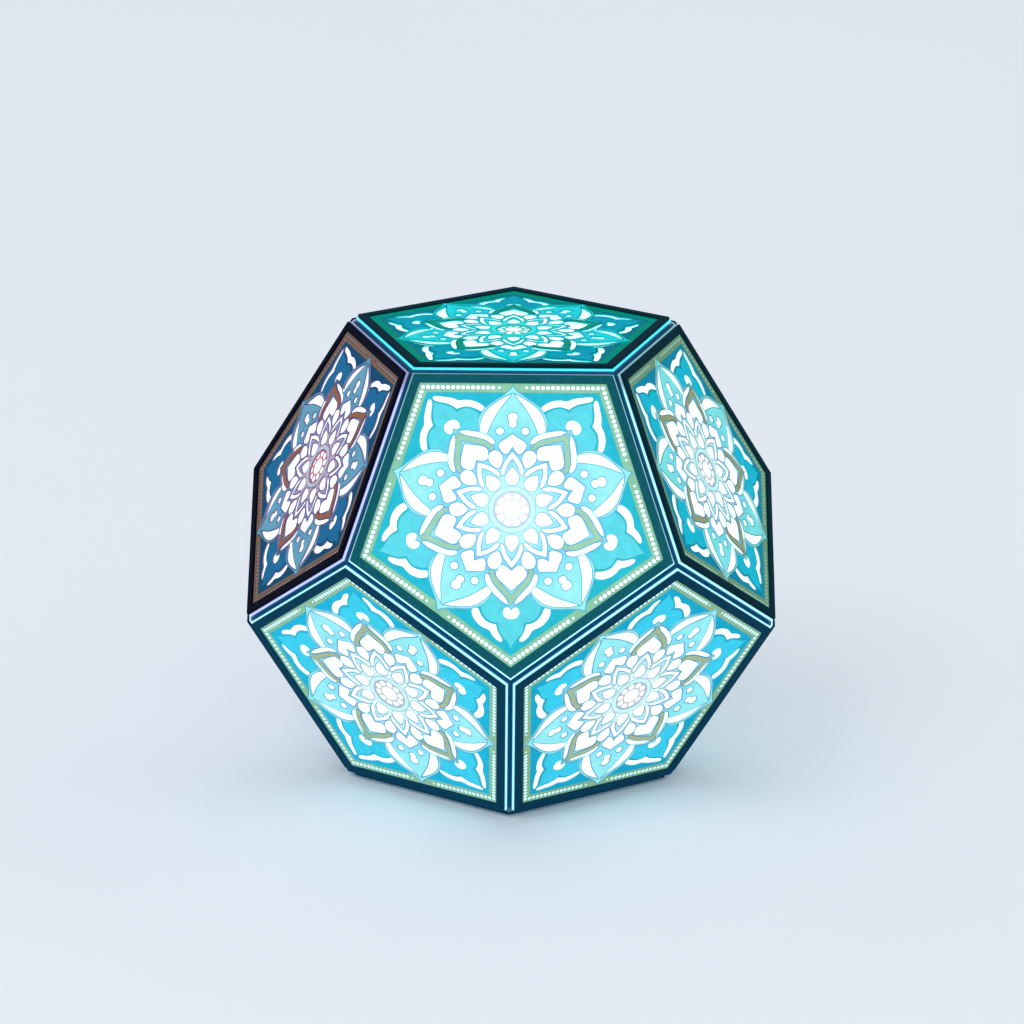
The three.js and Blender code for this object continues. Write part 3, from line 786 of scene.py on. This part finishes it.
def rimMaterial(name, tone):
    material, tree, shader, place = startMaterial(
        name, **{"Specular IOR Level": rimStainAndSpill["shine"], "Emission Strength": rimStainAndSpill["glow"]}
    )
    stretch = addNode(tree, "Mapping", {"Vector": place, "Scale": rimStainAndSpill["grain"]}).outputs[0]
    grain = grainRoughness(tree, shader, stretch, 1, rimStainAndSpill["rough"], detail=4)
    fleck = ramp(tree, grain, *rimStainAndSpill["grainRange"], 0, 1)
    dim, lifted = rimStainAndSpill["grainTones"]
    grainedTone = blendColours(tree, fleck, withAlpha(tone * dim), withAlpha(tone * lifted))
    cloud = noise(tree, place, rimStainAndSpill["cloudScale"], detail=3)
    cloud = ramp(tree, cloud, *narrowRange, 0, rimStainAndSpill["cloudShare"])
    shade = blendColours(tree, cloud, grainedTone, withAlpha(tone * rimStainAndSpill["cloudTone"]))
    # The face's tint and the faint glow are painted light, the spill of the glowing panels on the
    # dark rim
    tree.links.new(baseFromGlow(tree, shade, rimStainAndSpill["baseShare"]), shader.inputs["Base Color"])
    tree.links.new(shade, shader.inputs["Emission Color"])
    roughen(tree, shader, grain, rimStainAndSpill["bumpDepth"], rimStainAndSpill["bumpStrength"])
    return material


faces = sorted(name.removeprefix("rim_") for name in nodes if name.startswith("rim_"))
for face in faces:
    place = facePlace(face)
    panelMiddle = place @ Vector((0, 0, glassPlane))
    light = faceLight(face)
    faceInks = panelInks(face, light, panelMiddle)
    for layer, stencil in stencils.items():
        mesh = stencil.copy()
        mesh.name = f"{layer}_{face}"
        mesh.transform(place @ Matrix.Translation((0, 0, glassPlane)))
        for ink in layerInks[layer]:
            mesh.materials.append(faceInks[ink])
        piece = addObject(f"{layer}_{face}", mesh)
        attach(piece, "shell")
        if layer == "lotus":
            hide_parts("fretwork_" + face)
    dressNode("diffuser_" + face, glassMaterial(face, light, place.to_3x3(), panelMiddle))
    # Each rim takes its face's tint: painted spill of the coloured light
    dressNode("rim_" + face, rimMaterial("rimStainAndSpill_" + face, paint(*light["rim"])))
print("panels dressed:", len(faces))


# Plain finishes: a tone and how far it varies, the sizes of its clouds and grain, how rough, how
# metallic and how deep the grain is. The frame also shows the light that spills into the grooves.
finishes = {
    "frameBlack": {"tone": (18, 21, 26), "vary": 0.3, "cloud": 90, "grain": 2400,
                   "rough": (0.5, 0.68), "metal": 0, "depth": 0.00002, "shine": 0.05,
                   "spill": (0, 62, 92)},
    "mouldedBlack": {"tone": (18, 21, 26), "vary": 0.3, "cloud": 90, "grain": 2400,
                     "rough": (0.5, 0.68), "metal": 0, "depth": 0.00002},
    "fibreboard": {"tone": (150, 122, 92), "vary": 0.2, "cloud": 420, "grain": 3000,
                   "rough": (0.7, 0.85), "metal": 0, "depth": 0.00005},
    "frostedPlate": {"tone": (92, 138, 150), "vary": 0.12, "cloud": 70, "grain": 1800,
                     "rough": (0.4, 0.52), "metal": 0, "depth": 0.00002},
    "nickel": {"tone": (196, 198, 202), "vary": 0.12, "cloud": 300, "grain": 4200,
               "rough": (0.2, 0.36), "metal": 1, "depth": 0.00001},
    "steel": {"tone": (168, 170, 174), "vary": 0.18, "cloud": 260, "grain": 3600,
              "rough": (0.26, 0.42), "metal": 1, "depth": 0.00001},
    "housingBlack": {"tone": (44, 47, 52), "vary": 0.18, "cloud": 110, "grain": 2600,
                     "rough": (0.42, 0.58), "metal": 0, "depth": 0.00003},
    "paleCap": {"tone": (196, 202, 206), "vary": 0.08, "cloud": 120, "grain": 3000,
                "rough": (0.36, 0.5), "metal": 0, "depth": 0.00001},
    "pouchFoil": {"tone": (182, 186, 192), "vary": 0.12, "cloud": 220, "grain": 1500,
                  "rough": (0.3, 0.5), "metal": 0.7, "depth": 0.00004},
}
nodeFinishes = {
    "edge_frame": "frameBlack",
    "base_board": "fibreboard",
    "base_plate": "frostedPlate",
    "shell_magnet": "nickel",
    "base_magnet": "nickel",
    "housing_screw": "steel",
    "charging_socket": "steel",
    "housing_floor": "housingBlack",
    "button_switch": "mouldedBlack",
    "battery_cell": "pouchFoil",
}


def finishMaterial(name):
    finish = finishes[name]
    material, tree, shader, place = startMaterial(name, Metallic=finish["metal"])
    tone = paint(*finish["tone"])
    colour = clouded(tree, place, tone, finish["cloud"], 1 - finish["vary"], detail=4)
    tree.links.new(colour, shader.inputs["Base Color"])
    grain = grainRoughness(tree, shader, place, finish["grain"], finish["rough"], detail=3)
    roughen(tree, shader, grain, finish["depth"])
    if "spill" in finish:
        shader.inputs["Specular IOR Level"].default_value = finish["shine"]
        shader.inputs["Emission Color"].default_value = withAlpha(paint(*finish["spill"]))
        shader.inputs["Emission Strength"].default_value = 1
    return material


# The circuit board's green mask with its traces, and the dark chips that stand on it
circuit = {
    "mask": (18, 96, 74),
    "coat": 0.4,
    "traceScale": 700,
    "traceEdge": (0.04, 0.08),
    "traceLift": 1.7,
    "chip": (20, 22, 26),
    "chipHeight": 1.0,
    "chipEdge": (0.1, 0.2),
    "grainScale": 2000,
    "rough": (0.35, 0.5),
}


def circuitMaterial():
    coat = {"Coat Weight": circuit["coat"]}
    material, tree, shader, place = startMaterial("solderMask", **coat)
    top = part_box("circuit_board")[1].z - circuit["chipHeight"] * mm
    cells = {"Vector": place, "Scale": circuit["traceScale"]}
    traces = addNode(tree, "TexVoronoi", cells, feature="DISTANCE_TO_EDGE").outputs["Distance"]
    mask = paint(*circuit["mask"])
    onTrace = ramp(tree, traces, *circuit["traceEdge"], 1, 0)
    board = blendColours(tree, onTrace, withAlpha(mask), withAlpha(mask * circuit["traceLift"]))
    low, high = circuit["chipEdge"]
    onChip = ramp(tree, heightOf(tree, place), top + low * mm, top + high * mm, 0, 1)
    colour = blendColours(tree, onChip, board, withAlpha(paint(*circuit["chip"])))
    tree.links.new(colour, shader.inputs["Base Color"])
    grainRoughness(tree, shader, place, circuit["grainScale"], circuit["rough"])
    return material


# The light head: a white body, and lit chips that stand out of its sides and its top
lightHead = {
    "body": (238, 240, 242),
    "bodyGlow": 0.05,
    "chip": (255, 246, 226),
    "chipGlow": 4.0,
    "chipHeight": 1.0,
    "chipEdge": (0.2, 0.4),
    "cloudScale": 300,
    "cloudDim": 0.93,
    "grainScale": 2500,
    "rough": (0.4, 0.55),
}


def headMaterial():
    chip = withAlpha(paint(*lightHead["chip"]))
    material, tree, shader, place = startMaterial("lightHead", **{"Emission Color": chip})
    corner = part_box("light_head")[1]
    low, high = [(edge - lightHead["chipHeight"]) * mm for edge in lightHead["chipEdge"]]
    outside = sideReach(tree, place, Matrix.Identity(3))
    side = ramp(tree, outside, corner.y + low, corner.y + high, 0, 1)
    crown = ramp(tree, heightOf(tree, place), corner.z + low, corner.z + high, 0, 1)
    lit = larger(tree, side, crown)
    body = paint(*lightHead["body"])
    plain = clouded(tree, place, body, lightHead["cloudScale"], lightHead["cloudDim"], detail=3)
    strength = ramp(tree, lit, 0, 1, lightHead["bodyGlow"], lightHead["chipGlow"])
    tree.links.new(blendColours(tree, lit, plain, chip), shader.inputs["Base Color"])
    tree.links.new(strength, shader.inputs["Emission Strength"])
    grainRoughness(tree, shader, place, lightHead["grainScale"], lightHead["rough"])
    return material


# The frosted globe glows most towards its crown
globe = {
    "neck": 10.0,
    "wall": 1.5,
    "arcSteps": 26,
    "tone": (240, 246, 250),
    "baseShare": 0.7,
    "glow": (0.06, 0.2),
    "coat": 0.15,
    "cloudScale": 110,
    "cloudDim": 0.94,
    "grainScale": 1800,
    "grainDepth": 0.00002,
    "rough": (0.45, 0.6),
}


def globeMaterial():
    coat = {"Coat Weight": globe["coat"]}
    material, tree, shader, place = startMaterial("frostedGlobe", **coat)
    low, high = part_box("lamp_globe")
    strength = ramp(tree, heightOf(tree, place), low.z, high.z, *globe["glow"])
    tone = paint(*globe["tone"])
    glow = clouded(tree, place, tone, globe["cloudScale"], globe["cloudDim"], detail=3)
    tree.links.new(baseFromGlow(tree, glow, globe["baseShare"]), shader.inputs["Base Color"])
    tree.links.new(glow, shader.inputs["Emission Color"])
    tree.links.new(strength, shader.inputs["Emission Strength"])
    grain = grainRoughness(tree, shader, place, globe["grainScale"], globe["rough"])
    roughen(tree, shader, grain, globe["grainDepth"])
    return material


# Turned parts, drawn in millimetres as radius and height, with the rounding of a corner after it
turned = {
    "steps": 96,
    "cornerSteps": 4,
    "edgeRounding": 0.3,
    "sharpAngle": 40,
    "axisReach": 0.0001,
    "mergeReach": 0.0005,
}


def turnProfile(bm, profile, across=0):
    shape = bmesh.new()
    points = []
    rounded = {}
    for radius, height, *rounding in profile:
        points.append(shape.verts.new((radius, 0, height)))
        if rounding:
            rounded.setdefault(rounding[0], []).append(points[-1])
    shape.faces.new(points)
    for reach, corners in rounded.items():
        bmesh.ops.bevel(
            shape, geom=corners, offset=reach, offset_type="OFFSET",
            segments=turned["cornerSteps"], profile=0.5, affect="VERTICES", material=-1,
        )
    bmesh.ops.delete(shape, geom=shape.faces[:], context="FACES_ONLY")
    onAxis = [edge for edge in shape.edges
              if max(abs(end.co.x) for end in edge.verts) < turned["axisReach"]]
    bmesh.ops.delete(shape, geom=onAxis, context="EDGES")
    bmesh.ops.spin(
        shape, geom=shape.verts[:] + shape.edges[:], cent=(0, 0, 0), axis=(0, 0, 1),
        angle=math.tau, steps=turned["steps"], use_merge=True,
    )
    bmesh.ops.remove_doubles(shape, verts=shape.verts[:], dist=turned["mergeReach"])
    bmesh.ops.recalc_face_normals(shape, faces=shape.faces[:])
    bmesh.ops.translate(shape, verts=shape.verts[:], vec=(across, 0, 0))
    pourInto(bm, shape)


def placeTurned(bm, name, material, node, body="base"):
    bmesh.ops.scale(bm, verts=bm.verts[:], vec=(mm, mm, mm))
    mesh = meshFrom(bm, name)
    mesh.shade_smooth()
    mesh.set_sharp_from_angle(angle=math.radians(turned["sharpAngle"]))
    mesh.materials.append(material)
    piece = addObject(name, mesh)
    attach(piece, body)
    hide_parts(node)


# Heights of a node's underside and top in millimetres
def span(node):
    low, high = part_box(node)
    return low.z / mm, high.z / mm


def arc(radius, height, start, end, steps):
    angles = [math.radians(start + (end - start) * k / steps) for k in range(steps + 1)]
    return [(radius * math.cos(angle), height + radius * math.sin(angle)) for angle in angles]


def makeGlobe(material):
    bottom, top = span("lamp_globe")
    radius = ((top - bottom) ** 2 + globe["neck"] ** 2) / (2 * (top - bottom))
    centre, inner = top - radius, radius - globe["wall"]
    neck = -math.degrees(math.acos(globe["neck"] / radius))
    innerNeck = -math.degrees(math.acos((globe["neck"] - globe["wall"]) / inner))
    profile = arc(radius, centre, neck, 90, globe["arcSteps"])
    profile += arc(inner, centre, 90, innerNeck, globe["arcSteps"])
    bm = bmesh.new()
    turnProfile(bm, profile)
    placeTurned(bm, "globe_glow", material, "lamp_globe")


# The stem: a foot, a waist and the collar that carries the globe
stem = {
    "bore": 3.5,
    "waist": 5.0,
    "waistRounding": 1.2,
    "foot": 9.0,
    "footHeight": 2.0,
    "footSlope": 1.0,
    "footRounding": 0.6,
    "collar": 11.5,
    "collarHeight": 2.5,
    "collarRounding": 0.4,
    "globeGap": 0.15,
    "spigot": 8.1,
}


def makeStem(material):
    bottom, top = span("lamp_stem")
    bore, waist, foot = stem["bore"], stem["waist"], stem["foot"]
    collar, spigot = stem["collar"], stem["spigot"]
    collarTop = span("lamp_globe")[0] - stem["globeGap"]
    collarLow = collarTop - stem["collarHeight"]
    footTop = bottom + stem["footHeight"]
    spigotTop = collarTop + stem["collarHeight"]
    bm = bmesh.new()
    turnProfile(bm, [
        (bore, bottom),
        (foot, bottom),
        (foot, footTop, stem["footRounding"]),
        (waist, footTop + stem["footSlope"], stem["footRounding"]),
        (waist, collarLow - stem["collarHeight"], stem["waistRounding"]),
        (collar, collarLow, stem["collarRounding"]),
        (collar, collarTop),
        (spigot, collarTop),
        (spigot, spigotTop, turned["edgeRounding"]),
        (waist, spigotTop),
        (waist, top, turned["edgeRounding"]),
        (bore, top),
    ])
    placeTurned(bm, "stem_turned", material, "lamp_stem")


# The housing cup with its rounded shoulder and the three screw bosses under its roof
housing = {
    "radius": 26.0,
    "wall": 1.6,
    "shoulder": 2.0,
    "hole": 3.5,
    "bossRadius": 3.0,
    "bossSteps": 32,
    "bossCircle": 20.5,
    "bossTurns": (0, 120, 240),
    "bossBottom": 7.2,
}


def makeHousing(material):
    bottom, top = span("lamp_housing")
    radius, hole, rounding = housing["radius"], housing["hole"], turned["edgeRounding"]
    inner, roof = radius - housing["wall"], top - housing["wall"]
    bm = bmesh.new()
    turnProfile(bm, [
        (hole, roof),
        (inner, roof),
        (inner, bottom, rounding),
        (radius, bottom, rounding),
        (radius, top, housing["shoulder"]),
        (hole, top, rounding),
    ])
    tall = roof + housing["wall"] / 2 - housing["bossBottom"]
    for angle in housing["bossTurns"]:
        x, y = clockwise([(0, housing["bossCircle"])], angle)[0]
        place = Matrix.Translation((x, y, housing["bossBottom"] + tall / 2))
        bmesh.ops.create_cone(
            bm, cap_ends=True, cap_tris=False, segments=housing["bossSteps"],
            radius1=housing["bossRadius"], radius2=housing["bossRadius"], depth=tall, matrix=place,
        )
    placeTurned(bm, "housing_turned", material, "lamp_housing")


# The button: a soft cap, the flange that keeps it in, and its plunger
button = {
    "across": -8.5,
    "cap": 4.5,
    "capRounding": 0.5,
    "flange": 5.5,
    "flangeBottom": 7.2,
    "flangeTop": 8.0,
    "plunger": 1.5,
}


def makeButton(material):
    bottom, top = span("power_button")
    cap, flange, plunger = button["cap"], button["flange"], button["plunger"]
    flangeBottom, flangeTop = button["flangeBottom"], button["flangeTop"]
    bm = bmesh.new()
    turnProfile(bm, [
        (0, bottom),
        (cap, bottom, button["capRounding"]),
        (cap, flangeBottom),
        (flange, flangeBottom),
        (flange, flangeTop),
        (plunger, flangeTop),
        (plunger, top, turned["edgeRounding"]),
        (0, top),
    ], button["across"])
    placeTurned(bm, "button_turned", material, "power_button", "button")


plainFinishes = {name: finishMaterial(name) for name in sorted(set(nodeFinishes.values()))}
for start, name in nodeFinishes.items():
    for node in nodes:
        if node == start or node.rstrip("0123456789") == start + "_":
            dressNode(node, plainFinishes[name])
# The base rim takes the lower front face's tint: painted spill of the coloured light
dressNode("base_rim", rimMaterial("rimStainAndSpill_base", paint(*faceLights["lower_1"]["rim"])))
dressNode("circuit_board", circuitMaterial())
dressNode("light_head", headMaterial())
makeGlobe(globeMaterial())
makeStem(plainFinishes["housingBlack"])
makeHousing(plainFinishes["housingBlack"])
makeButton(finishMaterial("paleCap"))
print("lamp and base dressed")


# Floor, backdrop and light
studio = {
    "floorSize": 30.0,
    "floor": (226, 230, 234),
    "floorRough": 0.85,
    "cloudScale": 3,
    "cloudDim": 0.985,
    "sky": (228, 232, 238),
    "skyLevel": 1.14,
    "keyPower": 16.0,
    "keySize": 1.6,
    "keyFrom": (-1.2, -1.6, 2.2),
}


def layFloor():
    bm = bmesh.new()
    bmesh.ops.create_grid(bm, x_segments=1, y_segments=1, size=studio["floorSize"] / 2)
    mesh = meshFrom(bm, "floor")
    floor = addObject("floor", mesh)
    rough = studio["floorRough"]
    material, tree, shader, place = startMaterial("paleFloor", Roughness=rough)
    tone = paint(*studio["floor"])
    colour = clouded(tree, place, tone, studio["cloudScale"], studio["cloudDim"], detail=2)
    tree.links.new(colour, shader.inputs["Base Color"])
    mesh.materials.append(material)


def lightStudio():
    world = bpy.data.worlds.new("studio")
    world.use_nodes = True
    background = world.node_tree.nodes["Background"]
    background.inputs["Color"].default_value = withAlpha(paint(*studio["sky"]))
    background.inputs["Strength"].default_value = studio["skyLevel"]
    bpy.context.scene.world = world
    lamp = bpy.data.lights.new("key", "AREA")
    lamp.energy, lamp.size = studio["keyPower"], studio["keySize"]
    key = addObject("key", lamp)
    key.location = studio["keyFrom"]
    key.rotation_mode = "QUATERNION"
    key.rotation_quaternion = (middle - key.location).to_track_quat("-Z", "Y")


layFloor()
lightStudio()
bpy.context.scene.view_settings.view_transform = "Standard"
print("studio lit")
